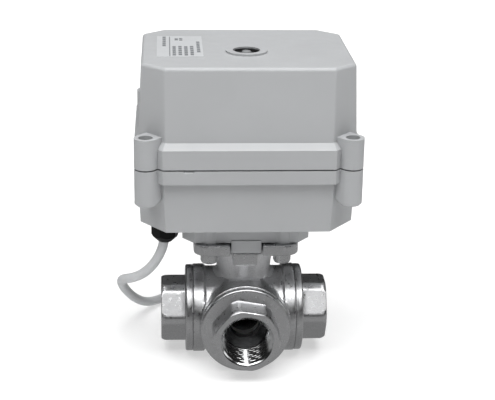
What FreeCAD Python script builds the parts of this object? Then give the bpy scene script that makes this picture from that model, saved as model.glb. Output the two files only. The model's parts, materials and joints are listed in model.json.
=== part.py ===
import FreeCAD, Part
import Sketcher
import math
import os
import re

# Motorized three-way ball valve: a stainless T-pattern valve with a quarter-turn
# electric actuator bolted to its top pad.
#
# Frame: millimetres, +Z up, origin on the bench midway under the whole object.
# The front port looks along -Y and the side ports along -X and +X. Dimensions below
# are given about the crossing of the three port axes, with the stem rising along +Z;
# flow_height and stem_y carry that crossing into the frame.

DIMENSIONS = {
    # where the crossing of the port axes stands in the frame
    "flow_height": (18.6, "port axes above the bench"),
    "stem_y": (-6.45, "stem axis in Y"),
    "running_gap": (0.05, "radial clearance of a turning or inserted round piece"),
    # valve body casting
    "body_radius": (17.7, "barrel around each port axis"),
    "collar_radius": (18.6, "raised collar at each port"),
    "collar_start": (16.4, "collar begins, from the crossing"),
    "body_reach": (21.4, "cap joint face, from the crossing"),
    "back_reach": (17.4, "closed back of the barrel"),
    "chamber_radius": (12.2, "ball chamber bores"),
    "chamber_reach": (13.4, "seat shoulders, from the crossing"),
    "cap_bore": (14.5, "threaded bore that takes a cap spigot"),
    "gasket_radius": (16.4, "gasket recess"),
    "gasket_depth": (1.0, "gasket recess depth"),
    "neck_low_radius": (10.2, "neck at its foot"),
    "neck_low": (10.0, "height of the neck foot"),
    "neck_top_radius": (12.2, "neck under the flare"),
    "neck_top": (28.3, "height where the neck flares"),
    "flare_radius": (16.5, "flare at the underside of the pad"),
    "pad_half": (21.3, "half width of the square top pad"),
    "pad_corner": (6.1, "corner radius of the top pad"),
    "pad_low": (31.7, "underside of the top pad"),
    "pad_top": (36.1, "top of the top pad"),
    "bolt_offset": (14.85, "pad bolts from the stem in X and Y, 42 mm bolt circle"),
    "notch_half": (6.65, "half width of the notch in each side of the pad"),
    "notch_depth": (6.3, "depth of the notch"),
    "stop_left": (-5.3, "left face of the cast stop lug"),
    "stop_right": (4.7, "right face of the cast stop lug"),
    "stop_front": (-18.0, "front face of the cast stop lug"),
    "stop_low": (26.0, "underside of the cast stop lug"),
    "stop_rounding": (1.1, "lower corners of the cast stop lug"),
    # end caps with G 1/2 female threads
    "cap_flange_radius": (18.3, "cap flange"),
    "cap_flange_end": (24.4, "outer face of the cap flange"),
    "cap_edge": (0.9, "rounding of the flange edge"),
    "cap_reach": (34.6, "outer face of the cap hexagon"),
    "hex_flats": (25.4, "cap hexagon across flats"),
    "hex_turned_radius": (13.85, "corners of the hexagon turned down"),
    "hex_end_chamfer": (0.7, "chamfer of the hexagon end"),
    "thread_radius": (9.3155, "crest radius of the G 1/2 female thread"),
    "thread_mouth_radius": (10.6, "chamfered mouth of the thread"),
    "thread_end": (20.6, "inner end of the threaded bore, from the crossing"),
    "port_radius": (6.3, "waterway through cap and seat"),
    # ball and seats
    "ball_radius": (11.9, "ball"),
    "ball_bore": (6.25, "waterway in the ball"),
    "ball_slot_half": (2.55, "half width of the drive slot"),
    "ball_slot_floor": (8.6, "floor of the drive slot"),
    "seat_radius": (12.1, "outside of a seat ring"),
    "seat_inner": (8.6, "inner end of a seat ring, from the crossing"),
    # stem and its sealing
    "stem_radius": (5.5, "stem"),
    "stem_collar_radius": (6.8, "collar that keeps the stem in"),
    "stem_collar_low": (12.1, "underside of the stem collar"),
    "stem_collar_top": (13.6, "top of the stem collar"),
    "stem_collar_room": (14.2, "top of the recess above the collar"),
    "tang_half": (2.5, "half thickness of the stem tang"),
    "tang_reach": (5.2, "half length of the stem tang"),
    "tang_low": (8.7, "lower end of the stem tang"),
    "square_low": (33.0, "stem square begins"),
    "square_top": (46.0, "stem square ends"),
    "square_half": (4.5, "half of the 9 mm stem square"),
    "packing_radius": (7.9, "packing bore"),
    "packing_low": (20.5, "foot of the packing"),
    "packing_top": (26.5, "top of the packing"),
    "nut_low": (28.5, "foot of the packing nut"),
    "nut_slot": (2.5, "width of the slot across the packing nut"),
    "nut_top": (34.0, "top of the packing nut"),
    "nut_radius": (9.0, "packing nut"),
    # mounting screws, M5 with socket heads, heads down
    "screw_radius": (2.5, "mounting screw shank"),
    "screw_head_radius": (3.6, "mounting screw head, smaller than a standard M5 head"),
    "screw_head_height": (5.0, "mounting screw head"),
    "screw_head_taper": (1.3, "rounding of the lower edge of a mounting screw head"),
    "screw_top": (45.0, "upper end of a mounting screw"),
    "socket_radius": (2.3, "hexagon socket, centre to corner"),
    "socket_depth": (2.5, "hexagon socket depth"),
    # actuator base housing
    "house_y": (7.3, "middle of the actuator in Y, from the stem"),
    "base_low": (45.0, "underside of the base"),
    "base_low_half_x": (42.6, "base half width at its foot"),
    "base_low_half_y": (35.8, "base half depth at its foot"),
    "base_top_half_x": (43.5, "base half width under the rim"),
    "base_top_half_y": (36.9, "base half depth under the rim"),
    "corner_x": (10.2, "corner cut along X"),
    "corner_y": (12.8, "corner cut along Y"),
    "rim_low": (65.9, "underside of the base rim"),
    "rim_half_x": (44.7, "rim half width"),
    "rim_half_y": (39.3, "rim half depth"),
    "base_top": (71.4, "top face of the base"),
    "pry_left": (-25.4, "left end of the pry notch in the front of the rim"),
    "pry_width": (4.2, "width of the pry notch"),
    "pry_deep": (0.9, "depth of the pry notch below the top face of the base"),
    "wall": (2.6, "housing wall"),
    "floor_top": (47.9, "inside floor of the base"),
    "seat_pad_half_x": (25.8, "mounting pad half width"),
    "seat_pad_half_y": (18.5, "mounting pad half depth"),
    "seat_pad_cut_x": (4.8, "mounting pad corner cut along X"),
    "seat_pad_cut_y": (6.0, "mounting pad corner cut along Y"),
    "seat_pad_low": (36.5, "underside of the mounting pad"),
    "boss_radius": (4.4, "screw bosses down the sides of the mounting pad"),
    "tab_half": (6.1, "half width of the locating tab"),
    "tab_front": (-19.0, "front face of the locating tab"),
    "tab_back": (-15.6, "back face of the locating tab"),
    "tab_low": (32.3, "lower end of the locating tab"),
    "hub_radius": (13.5, "bearing hub inside the base"),
    "hub_top": (53.8, "top of the bearing hub"),
    "lug_x": (40.1, "cover screw lugs from the middle in X"),
    "lug_y": (35.7, "cover screw lugs from the middle in Y"),
    "lug_radius": (4.5, "cover screw lug"),
    "lug_low": (64.5, "cover screw lug and its web begin in full section"),
    "lug_tip": (56.6, "lower tip of a cover screw lug"),
    "lug_tip_radius": (3.6, "lower tip of a cover screw lug"),
    "lug_inward_x": (6.4, "web of a lug towards the housing in X"),
    "lug_inward_y": (7.7, "web of a lug towards the housing in Y"),
    # cover
    "cover_low": (72.0, "lower face of the cover"),
    "cover_rim_top": (79.7, "top edge of the cover rim"),
    "foot_z": (82.1, "foot of the cover wall"),
    "foot_half_x": (43.1, "cover half width at the wall foot"),
    "foot_half_y": (36.8, "cover half depth at the wall foot"),
    "cover_top": (111.06, "top face of the cover"),
    "top_half_x": (41.7, "cover half width at the top"),
    "top_half_y": (34.2, "cover half depth at the top"),
    "top_corner_x": (8.8, "corner cut at the top along X"),
    "top_corner_y": (8.3, "corner cut at the top along Y"),
    "top_edge": (1.6, "rounding of the top edge and the upright corners of the cover"),
    "cover_ceiling": (108.5, "inside ceiling of the cover"),
    "cover_lug_top": (84.0, "top of the cover lugs"),
    "cover_screw_seat": (75.5, "seat of a cover screw head"),
    "cover_screw_bore": (2.85, "counterbore over a cover screw"),
    "ring_radius": (8.3, "raised ring around the spindle"),
    "ring_top": (111.86, "top of the raised ring"),
    "recess_radius": (5.45, "recess inside the ring"),
    "recess_floor": (109.0, "floor of the recess"),
    "seal_lip": (0.6, "thickness of the rubber lining of the recess, and its depth below the ring"),
    "recess_boss": (105.5, "underside of the boss below the recess"),
    "seal_inset": (1.4, "cover seal from the rim edge"),
    "seal_width": (2.2, "cover seal width"),
    "seal_groove": (1.0, "cover seal groove depth"),
    # cover screws, 3 mm
    "cover_screw_radius": (1.5, "cover screw shank"),
    "cover_head_radius": (2.7, "cover screw head"),
    "cover_head_height": (2.6, "cover screw head"),
    "cover_screw_low": (61.5, "lower end of a cover screw"),
    # output shaft and drive
    "shaft_low": (37.2, "lower end of the output shaft"),
    "shaft_radius": (8.0, "lower journal"),
    "socket_half": (4.55, "half of the square socket"),
    "socket_top": (46.6, "roof of the square socket"),
    "shaft_shoulder": (54.2, "shoulder above the lower journal"),
    "shaft_shoulder_radius": (9.2, "shoulder"),
    "gear_seat": (55.0, "foot of the output gear"),
    "gear_seat_radius": (7.0, "gear seat on the shaft"),
    "output_gear_top": (61.0, "top of the output gear"),
    "shaft_upper_radius": (5.0, "upper journal"),
    "shaft_top": (88.0, "upper end of the output shaft"),
    "key_half": (1.5, "half width of the gear key"),
    "key_in": (5.6, "key inner face from the shaft axis"),
    "key_out": (8.6, "key outer face from the shaft axis"),
    "spindle_radius": (1.9, "position spindle"),
    "spindle_foot_radius": (3.4, "foot of the position spindle"),
    "spindle_foot_top": (91.0, "top of the spindle foot"),
    "spindle_top": (111.5, "visible end of the position spindle"),
    "bush_radius": (10.0, "lower bush outside"),
    "bush_low": (42.0, "lower bush begins"),
    "shaft_seal_low": (37.6, "lower shaft seal begins"),
    "shaft_seal_top": (41.4, "lower shaft seal ends"),
    "shaft_seal_radius": (10.95, "lower shaft seal outside"),
    # gear train
    "backlash": (0.14, "tooth thinning at the pitch circle"),
    "coarse_module": (1.0, "output gear pair"),
    "middle_module": (0.8, "second gear pair"),
    "fine_module": (0.6, "motor gear pair"),
    "output_teeth": (44, "output gear"),
    "wheel_teeth": (40, "both compound wheels"),
    "pinion_teeth": (12, "all pinions"),
    "axle_radius": (1.5, "gear axles"),
    "second_pinion_low": (54.6, "second stage pinion begins"),
    "second_wheel_low": (61.8, "second stage wheel begins"),
    "second_wheel_top": (65.0, "second stage wheel ends"),
    "first_pinion_low": (61.4, "first stage pinion begins"),
    "first_wheel_low": (65.8, "first stage wheel begins"),
    "first_wheel_top": (68.2, "first stage wheel ends"),
    # gear plate and what stands on it
    "plate_low": (70.0, "gear plate"),
    "plate_top": (72.0, "gear plate"),
    "plate_half_x": (39.6, "gear plate half width"),
    "plate_front": (-21.0, "front edge of the gear plate"),
    "plate_back": (39.0, "back edge of the gear plate"),
    "plate_corner": (9.0, "corner cut of the gear plate"),
    "post_x": (37.0, "plate posts from the middle"),
    "post_front": (0.0, "front plate posts"),
    "post_back": (27.3, "back plate posts"),
    "post_radius": (2.5, "plate posts"),
    "upper_bush_radius": (7.0, "upper bush in the plate"),
    "motor_radius": (12.0, "motor can"),
    "motor_top": (98.0, "top of the motor can"),
    "motor_wall": (1.0, "motor can wall"),
    "motor_boss": (3.5, "motor boss in the plate"),
    "rotor_radius": (8.0, "motor rotor"),
    "motor_shaft_radius": (1.0, "motor shaft"),
    "cam_radius": (9.0, "cam base circle"),
    "cam_lobe": (11.0, "cam lobe"),
    "cam_height": (3.0, "cam"),
    "low_cam_z": (75.0, "lower cam"),
    "high_cam_z": (81.0, "upper cam"),
    "switch_x": (13.5, "near face of the switches"),
    "switch_deep": (10.0, "switch body depth"),
    "switch_half": (10.0, "half length of a switch body"),
    "switch_height": (6.0, "switch body height"),
    "low_switch_z": (73.5, "lower switch"),
    "high_switch_z": (79.5, "upper switch"),
    "board_low": (78.0, "underside of the circuit board"),
    "board_thick": (1.6, "circuit board"),
    "board_half_x": (30.0, "circuit board half width"),
    "board_front": (-25.0, "front edge of the circuit board"),
    "board_back": (-12.6, "back edge of the circuit board"),
    "board_hole_x": (26.0, "board screws from the middle in X"),
    "board_hole_y": (-15.4, "board screws"),
    "pillar_radius": (2.4, "board pillar"),
    "terminal_left": (-22.0, "terminal block"),
    "terminal_front": (-24.0, "terminal block"),
    "terminal_width": (25.5, "terminal block width"),
    "terminal_deep": (8.0, "terminal block depth"),
    "terminal_height": (9.0, "terminal block height"),
    "way_pitch": (5.0, "spacing of the terminal ways"),
    "way_inset": (2.7, "first terminal way from the end of the block"),
    "way_half": (1.6, "half width of a wire entry"),
    "way_height": (3.4, "height of a wire entry"),
    "way_deep": (2.0, "depth of a wire entry and of a screw well"),
    "well_radius": (1.9, "screw well of a terminal way"),
    "relay_left": (6.0, "relay"),
    "relay_right": (21.0, "relay"),
    "relay_back": (-14.0, "relay"),
    "relay_height": (11.0, "relay height"),
    "capacitor_x": (-26.6, "capacitor"),
    "capacitor_y": (-20.8, "capacitor"),
    "capacitor_radius": (3.0, "capacitor"),
    "capacitor_height": (12.0, "capacitor height"),
    # small screws, 2 mm, and the screws of the gear plate, 3 mm
    "fine_radius": (1.0, "shank of a 2 mm screw"),
    "fine_hole": (1.05, "hole for a 2 mm screw"),
    "fine_head_radius": (1.9, "head of a 2 mm screw"),
    "fine_head_height": (1.4, "head height of a 2 mm screw"),
    "motor_screw_out": (8.5, "motor screws from the motor axis"),
    "plate_screw_radius": (1.5, "shank of a plate screw"),
    "plate_screw_hole": (1.55, "hole for a plate screw"),
    "plate_head_radius": (2.8, "head of a plate screw"),
    "plate_head_height": (2.0, "head height of a plate screw"),
    "cross_reach": (1.6, "half length of the cross in a plate screw"),
    "cross_half": (0.35, "half width of the cross in a plate screw"),
    # cable gland and cable
    "gland_x": (-32.8, "gland axis"),
    "gland_y": (-10.5, "gland axis"),
    "gland_thread": (4.6, "gland thread radius"),
    "gland_stub": (3.9, "body of the gland inside its nut, and the seal"),
    "gland_lock_flats": (12.0, "gland locknut across flats"),
    "gland_lock_height": (2.6, "gland locknut height"),
    "gland_low": (34.9, "lower end of the gland nut"),
    "gland_nut_top": (42.6, "upper end of the gland nut"),
    "gland_nut_flats": (10.2, "gland nut across flats"),
    "gland_tip_radius": (2.9, "gland nut lower end"),
    "cable_radius": (2.0, "cable"),
    "cable_top": (42.4, "inner end of the cable"),
    "cable_leaves": (34.4, "where the cable is free of the gland"),
    "coil_y": (48.0, "coil centre behind the stem"),
    "coil_inner": (18.0, "coil inside radius"),
    "coil_outer": (26.0, "coil outside radius"),
    "coil_height": (8.0, "coil height"),
    "tie_width": (2.5, "cable tie width"),
    "tie_thick": (0.7, "cable tie thickness"),
    "lead_radius": (0.7, "one insulated conductor"),
    # label
    "label_left": (-35.7, "label"),
    "label_right": (-17.3, "label"),
    "label_front": (-9.2, "label"),
    "label_back": (27.0, "label"),
    "label_thick": (0.2, "label"),
}

FUNCTIONS = ("sqrt", "tan", "cos", "sin")
WORD = re.compile(r"[a-z][a-z_]*")
TURN = FreeCAD.Rotation
X_AXIS = FreeCAD.Vector(1, 0, 0)
Y_AXIS = FreeCAD.Vector(0, 1, 0)
Z_AXIS = FreeCAD.Vector(0, 0, 1)
PORT_TURNS = {
    "left": TURN(Z_AXIS, -X_AXIS),
    "right": TURN(Z_AXIS, X_AXIS),
    "front": TURN(Z_AXIS, -Y_AXIS),
    "back": TURN(Z_AXIS, Y_AXIS),
}

# Centres of the gear train, worked out from the centre distances and these bearings.
SECOND_BEARING = 48.6
FIRST_BEARING = 168.0
MOTOR_BEARING = 195.0
# The angle that a cam's lobe takes up.
LOBE_ANGLE = 30.0

doc = FreeCAD.newDocument("valve_actuator")
sheet = doc.addObject("Spreadsheet::Sheet", "dims")
nodes = []


def fill_sheet():
    for row, (alias, (number, meaning)) in enumerate(DIMENSIONS.items(), start=1):
        sheet.set(f"A{row}", meaning)
        sheet.set(f"B{row}", str(number))
        sheet.setAlias(f"B{row}", alias)
    doc.recompute()


def in_sheet(text):
    """An expression with every dimension's name led by the sheet's own name."""
    return WORD.sub(lambda word: word[0] if word[0] in FUNCTIONS else f"dims.{word[0]}", text)


def number(text):
    """The value that an expression has now."""
    return float(sheet.evalExpression(in_sheet(text)))


def bind(item, **sizes):
    for name, text in sizes.items():
        item.setExpression(name, in_sheet(text))
    return item


def move(item, x="0", y="0", z="0", turn=None):
    """Place an item about the crossing of the port axes, turned if asked."""
    if turn is not None:
        item.Placement = FreeCAD.Placement(FreeCAD.Vector(), turn)
    for axis, text in (("x", x), ("y", y), ("z", z)):
        if text != "0":
            item.setExpression(f"Placement.Base.{axis}", in_sheet(text))
    return item


def node(label, item, x="0", y="0", z="0", turn=None):
    """Name a finished sub-part and carry it from the crossing into the frame."""
    item.Label = label
    nodes.append(item)
    return move(item, x, f"stem_y + {y}", f"flow_height + {z}", turn)


def cylinder(radius, height, x="0", y="0", z="0", turn=None):
    item = doc.addObject("Part::Cylinder", "cylinder")
    bind(item, Radius=radius, Height=height)
    return move(item, x, y, z, turn)


def cone(low_radius, top_radius, height, x="0", y="0", z="0"):
    item = doc.addObject("Part::Cone", "cone")
    bind(item, Radius1=low_radius, Radius2=top_radius, Height=height)
    return move(item, x, y, z)


def sphere(radius):
    return bind(doc.addObject("Part::Sphere", "sphere"), Radius=radius)


def block(left, right, front, back, low, top):
    """A box between six faces."""
    item = doc.addObject("Part::Box", "block")
    bind(item, Length=f"({right}) - ({left})", Width=f"({back}) - ({front})")
    bind(item, Height=f"({top}) - ({low})")
    return move(item, left, front, low)


def hexagon(flats, height, x="0", y="0", z="0", spin=0.0):
    item = doc.addObject("Part::Prism", "hexagon")
    item.Polygon = 6
    bind(item, Circumradius=f"({flats}) / sqrt(3)", Height=height)
    return move(item, x, y, z, TURN(Z_AXIS, spin))


def fuse(*items):
    item = doc.addObject("Part::MultiFuse", "fuse")
    item.Shapes = list(items)
    item.Refine = True
    return item


def group(*items):
    """Separate solids that share one node."""
    item = doc.addObject("Part::Compound", "group")
    item.Links = list(items)
    return item


def common(*items):
    item = doc.addObject("Part::MultiCommon", "common")
    item.Shapes = list(items)
    return item


def cut(base, *tools):
    item = doc.addObject("Part::Cut", "cut")
    item.Base = base
    item.Tool = tools[0] if len(tools) == 1 else fuse(*tools)
    item.Refine = True
    return item


def origin_plane(body, role):
    return next(item for item in body.Origin.OriginFeatures if item.Role == role)


def new_sketch(body, role, height="0"):
    sketch = body.newObject("Sketcher::SketchObject", "sketch")
    sketch.AttachmentSupport = (origin_plane(body, role), "")
    sketch.MapMode = "FlatFace"
    if height != "0":
        sketch.setExpression("AttachmentOffset.Base.z", in_sheet(height))
    return sketch


def hold_point(sketch, edge, place, x, y):
    """Tie one end of an edge, or a centre, to its two coordinates."""
    for kind, text, axis in (("DistanceX", x, -2), ("DistanceY", y, -1)):
        if text == "0":
            sketch.addConstraint(Sketcher.Constraint("PointOnObject", edge, place, axis))
            continue
        held = Sketcher.Constraint(kind, -1, 1, edge, place, number(text))
        index = sketch.addConstraint(held)
        sketch.setExpression(f"Constraints[{index}]", in_sheet(text))


def polygon(body, points, role="XY_Plane", height="0"):
    """A closed outline whose corners are tied to expressions."""
    sketch = new_sketch(body, role, height)
    corners = [FreeCAD.Vector(number(x), number(y), 0) for x, y in points]
    for index, corner in enumerate(corners):
        following = corners[(index + 1) % len(corners)]
        sketch.addGeometry(Part.LineSegment(corner, following), False)
    for index in range(len(corners)):
        joined = Sketcher.Constraint("Coincident", index, 2, (index + 1) % len(corners), 1)
        sketch.addConstraint(joined)
    for index, (x, y) in enumerate(points):
        hold_point(sketch, index, 1, x, y)
    return sketch


def circles(body, centres, radius, height="0"):
    """Equal circles about a list of centres."""
    sketch = new_sketch(body, "XY_Plane", height)
    for index, (x, y) in enumerate(centres):
        centre = FreeCAD.Vector(number(x), number(y), 0)
        sketch.addGeometry(Part.Circle(centre, Z_AXIS, number(radius)), False)
        hold_point(sketch, index, 3, x, y)
        sized = Sketcher.Constraint("Radius", index, number(radius))
        sketch.setExpression(f"Constraints[{sketch.addConstraint(sized)}]", in_sheet(radius))
    return sketch


def pad(body, sketch, length):
    feature = body.newObject("PartDesign::Pad", "pad")
    feature.Profile = sketch
    return bind(feature, Length=length)


def pocket(body, sketch, depth):
    """Remove material upwards from a sketch."""
    feature = body.newObject("PartDesign::Pocket", "pocket")
    feature.Profile = sketch
    feature.Reversed = True
    return bind(feature, Length=depth)


def loft(body, kind, low, top):
    feature = body.newObject(f"PartDesign::{kind}Loft", "loft")
    feature.Profile = low
    feature.Sections = [top]
    feature.Ruled = True
    return feature


def turned(points):
    """A body of revolution about Z from (radius, height) corners."""
    body = doc.addObject("PartDesign::Body", "turned")
    sketch = polygon(body, points, "XZ_Plane")
    feature = body.newObject("PartDesign::Revolution", "revolution")
    feature.Profile = sketch
    feature.ReferenceAxis = (sketch, ["V_Axis"])
    feature.Angle = 360
    return body


def ring(inner, outer, low, top):
    return turned([(inner, low), (outer, low), (outer, top), (inner, top)])


def octagon(half_x, half_y, cut_x, cut_y, middle="house_y"):
    """Corners of a rectangle with its four corners cut, about the actuator's middle."""
    corners = []
    for sign_x, sign_y, side_first in ((1, -1, True), (1, 1, False), (-1, 1, True), (-1, -1, False)):
        x_sign = "" if sign_x > 0 else "-"
        y_sign = "+" if sign_y > 0 else "-"
        on_front = (f"{x_sign}({half_x} - ({cut_x}))", f"{middle} {y_sign} ({half_y})")
        on_side = (f"{x_sign}({half_x})", f"{middle} {y_sign} ({half_y} - ({cut_y}))")
        corners += [on_front, on_side] if side_first else [on_side, on_front]
    return corners


def four(x, y, middle="0"):
    """Four centres placed symmetrically."""
    return [
        (f"{sign_x}({x})", f"{middle} {sign_y} ({y})")
        for sign_x in ("-", "+")
        for sign_y in ("-", "+")
    ]


# ---------------------------------------------------------------- valve


def make_valve_body():
    barrel = cylinder("body_radius", "2 * body_reach", x="-body_reach", turn=PORT_TURNS["right"])
    front = cylinder("body_radius", "body_reach", turn=PORT_TURNS["front"])
    back = cylinder("body_radius - 1.2", "back_reach", turn=PORT_TURNS["back"])
    collars = []
    bores = [
        cylinder("chamber_radius", "2 * chamber_reach", x="-chamber_reach", turn=PORT_TURNS["right"]),
        cylinder("chamber_radius", "2 * chamber_reach", y="chamber_reach", turn=PORT_TURNS["front"]),
    ]
    for side, direction in (("left", (-1, 0)), ("right", (1, 0)), ("front", (0, -1))):
        turn = PORT_TURNS[side]

        def along(text):
            return [f"{part} * ({text})" if part else "0" for part in direction]

        for radius, start, length, wanted in (
            ("collar_radius", "collar_start", "body_reach - collar_start", collars),
            ("cap_bore", "chamber_reach", "body_reach", bores),
            ("gasket_radius", "body_reach - gasket_depth", "body_reach", bores),
        ):
            x, y = along(start)
            wanted.append(cylinder(radius, length, x=x, y=y, turn=turn))
    neck = cone("neck_low_radius", "neck_top_radius", "neck_top - neck_low", z="neck_low")
    flare = cone("neck_top_radius", "flare_radius", "pad_low - neck_top", z="neck_top")
    pad_wide = block("-pad_half", "pad_half", "pad_corner - pad_half", "pad_half - pad_corner",
                     "pad_low", "pad_top")
    pad_deep = block("pad_corner - pad_half", "pad_half - pad_corner", "-pad_half", "pad_half",
                     "pad_low", "pad_top")
    pad_corners = [
        cylinder("pad_corner", "pad_top - pad_low", x=x, y=y, z="pad_low")
        for x, y in four("pad_half - pad_corner", "pad_half - pad_corner")
    ]
    stop_back = "2 - neck_low_radius"
    stop_edges = ("stop_left + stop_rounding", "stop_right - stop_rounding")
    stop = [
        cylinder("stop_rounding", f"{stop_back} - stop_front", x=x, y=stop_back, z="stop_low + stop_rounding",
                 turn=PORT_TURNS["front"])
        for x in stop_edges
    ]
    stop += [
        block("stop_left", "stop_right", "stop_front", stop_back, "stop_low + stop_rounding", "pad_low + 1"),
        block(*stop_edges, "stop_front", stop_back, "stop_low", "pad_low + 1"),
    ]
    notches = [
        block("-notch_half", "notch_half", "-pad_half - 1", "notch_depth - pad_half", "pad_low",
              "pad_top + 1"),
        block("-notch_half", "notch_half", "pad_half - notch_depth", "pad_half + 1", "pad_low",
              "pad_top + 1"),
    ]
    stem_bores = [
        cylinder("stem_radius + running_gap", "pad_top"),
        cylinder("stem_collar_radius + 0.1", "stem_collar_room"),
        cylinder("packing_radius + running_gap", "pad_top", z="packing_low"),
        cylinder("nut_radius + running_gap", "pad_top", z="nut_low"),
    ]
    screw_holes = [
        cylinder("screw_radius + 0.2", "pad_top", x=x, y=y, z="pad_low - 1")
        for x, y in four("bolt_offset", "bolt_offset")
    ]
    outside = fuse(barrel, front, back, *collars, neck, flare, pad_wide, pad_deep, *pad_corners, *stop)
    node("valve_body", cut(outside, *bores, *notches, *stem_bores, *screw_holes))


def make_end_cap(side, spin):
    """Flange, threaded spigot and hexagon, about Z with Z pointing out of the port."""
    blank = turned([
        ("0", "chamber_reach"), ("cap_bore - 1.35", "chamber_reach"),
        ("cap_bore - running_gap", "chamber_reach + 1.3"),
        ("cap_bore - running_gap", "body_reach"), ("cap_flange_radius", "body_reach"),
        ("cap_flange_radius", "cap_flange_end - cap_edge"),
        ("cap_flange_radius - cap_edge", "cap_flange_end"), ("0", "cap_flange_end"),
    ])
    envelope = turned([
        ("0", "body_reach"), ("hex_turned_radius", "body_reach"),
        ("hex_turned_radius", "cap_reach - hex_end_chamfer"),
        ("hex_turned_radius - hex_end_chamfer", "cap_reach"), ("0", "cap_reach"),
    ])
    six_sided = hexagon("hex_flats", "cap_reach - body_reach", z="body_reach", spin=spin)
    bore = turned([
        ("0", "chamber_reach - 1"), ("port_radius", "chamber_reach - 1"),
        ("port_radius", "thread_end - thread_radius + port_radius"), ("thread_radius", "thread_end"),
        ("thread_radius", "cap_reach - thread_mouth_radius + thread_radius"),
        ("thread_mouth_radius", "cap_reach"), ("thread_mouth_radius", "cap_reach + 1"),
        ("0", "cap_reach + 1"),
    ])
    cap = cut(fuse(blank, common(six_sided, envelope)), bore)
    node(f"end_cap_{side}", cap, turn=PORT_TURNS[side])


def make_gasket(side):
    gasket = ring("cap_bore", "gasket_radius - running_gap", "body_reach - gasket_depth", "body_reach")
    node(f"cap_gasket_{side}", gasket, turn=PORT_TURNS[side])


def make_seat(side):
    """A seat ring whose inner face is hollowed to the ball."""
    blank = turned([
        ("port_radius", "seat_inner"), ("seat_inner - 0.3", "seat_inner"),
        ("seat_radius", "seat_radius + 0.3"), ("seat_radius", "chamber_reach"),
        ("port_radius", "chamber_reach"),
    ])
    node(f"seat_{side}", cut(blank, sphere("ball_radius + running_gap")), turn=PORT_TURNS[side])


def make_ball():
    """The waterway turns a right angle, from the front port to the left port."""
    reach = "ball_radius + 1"
    waterway = fuse(
        sphere("ball_bore"),
        cylinder("ball_bore", reach, turn=PORT_TURNS["front"]),
        cylinder("ball_bore", reach, turn=PORT_TURNS["left"]),
    )
    slot = block(f"-({reach})", reach, "-ball_slot_half", "ball_slot_half", "ball_slot_floor", reach)
    node("ball", cut(sphere("ball_radius"), waterway, slot))


def make_stem():
    shaft = turned([
        ("0", "stem_collar_low"), ("stem_collar_radius", "stem_collar_low"),
        ("stem_collar_radius", "stem_collar_top"), ("stem_radius", "stem_collar_top"),
        ("stem_radius", "square_low"), ("0", "square_low"),
    ])
    tang = block("-tang_reach", "tang_reach", "-tang_half", "tang_half", "tang_low", "stem_collar_top")
    square = block("-square_half", "square_half", "-square_half", "square_half", "square_low - 1",
                   "square_top")
    turned_corners = cylinder("stem_radius", "square_top", z="square_low - 1")
    node("stem", fuse(shaft, tang, common(square, turned_corners)))


def make_stem_seals():
    stem_side = "stem_radius + running_gap"
    node("thrust_washer", ring(stem_side, "stem_collar_radius", "stem_collar_top", "stem_collar_room"))
    node("packing_rings", ring(stem_side, "packing_radius", "packing_low", "packing_top"))
    nut = turned([
        ("stem_radius + 0.1", "packing_top"), ("packing_radius", "packing_top"),
        ("packing_radius", "nut_low"), ("nut_radius", "nut_low"), ("nut_radius", "nut_top"),
        ("stem_radius + 0.1", "nut_top"),
    ])
    slot = block("-nut_radius", "nut_radius", "-nut_slot / 2", "nut_slot / 2", "nut_top - 2", "nut_top + 1")
    node("packing_nut", cut(nut, slot))


def make_mounting_screws():
    screws = []
    for x, y in four("bolt_offset", "bolt_offset"):
        head = move(turned([
            ("0", "pad_low - screw_head_height"),
            ("screw_head_radius - screw_head_taper", "pad_low - screw_head_height"),
            ("screw_head_radius - screw_head_taper / 3",
             "pad_low - screw_head_height + screw_head_taper / 3"),
            ("screw_head_radius", "pad_low - screw_head_height + screw_head_taper"),
            ("screw_head_radius", "pad_low"), ("0", "pad_low"),
        ]), x, y)
        shank = cylinder("screw_radius", "screw_top - pad_low + 1", x=x, y=y, z="pad_low - 1")
        socket = hexagon("sqrt(3) * socket_radius", "socket_depth", x=x, y=y,
                         z="pad_low - screw_head_height")
        screws.append(cut(fuse(head, shank), socket))
    node("mounting_screws", group(*screws))


# ---------------------------------------------------------------- housing


def lug_web(body, sign_x, sign_y, height):
    """A strip from a lug inwards to the housing corner."""
    reach_x = f"{sign_x}(lug_x)"
    reach_y = f"house_y {sign_y} lug_y"
    inner_x = f"{sign_x}(lug_x - lug_inward_x)"
    inner_y = f"house_y {sign_y} (lug_y - lug_inward_y)"
    across_x = "(lug_radius * lug_inward_y / sqrt(lug_inward_x ^ 2 + lug_inward_y ^ 2))"
    across_y = "(lug_radius * lug_inward_x / sqrt(lug_inward_x ^ 2 + lug_inward_y ^ 2))"
    flip = "-" if sign_x == sign_y else "+"
    back = "+" if flip == "-" else "-"
    return polygon(body, [
        (f"{reach_x} + {across_x}", f"{reach_y} {flip} {across_y}"),
        (f"{inner_x} + {across_x}", f"{inner_y} {flip} {across_y}"),
        (f"{inner_x} - {across_x}", f"{inner_y} {back} {across_y}"),
        (f"{reach_x} - {across_x}", f"{reach_y} {back} {across_y}"),
    ], height=height)


def add_lugs(body, low, top):
    pad(body, circles(body, four("lug_x", "lug_y", "house_y"), "lug_radius", low), f"{top} - ({low})")
    for sign_x in ("-", "+"):
        for sign_y in ("-", "+"):
            pad(body, lug_web(body, sign_x, sign_y, low), f"{top} - ({low})")


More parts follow.
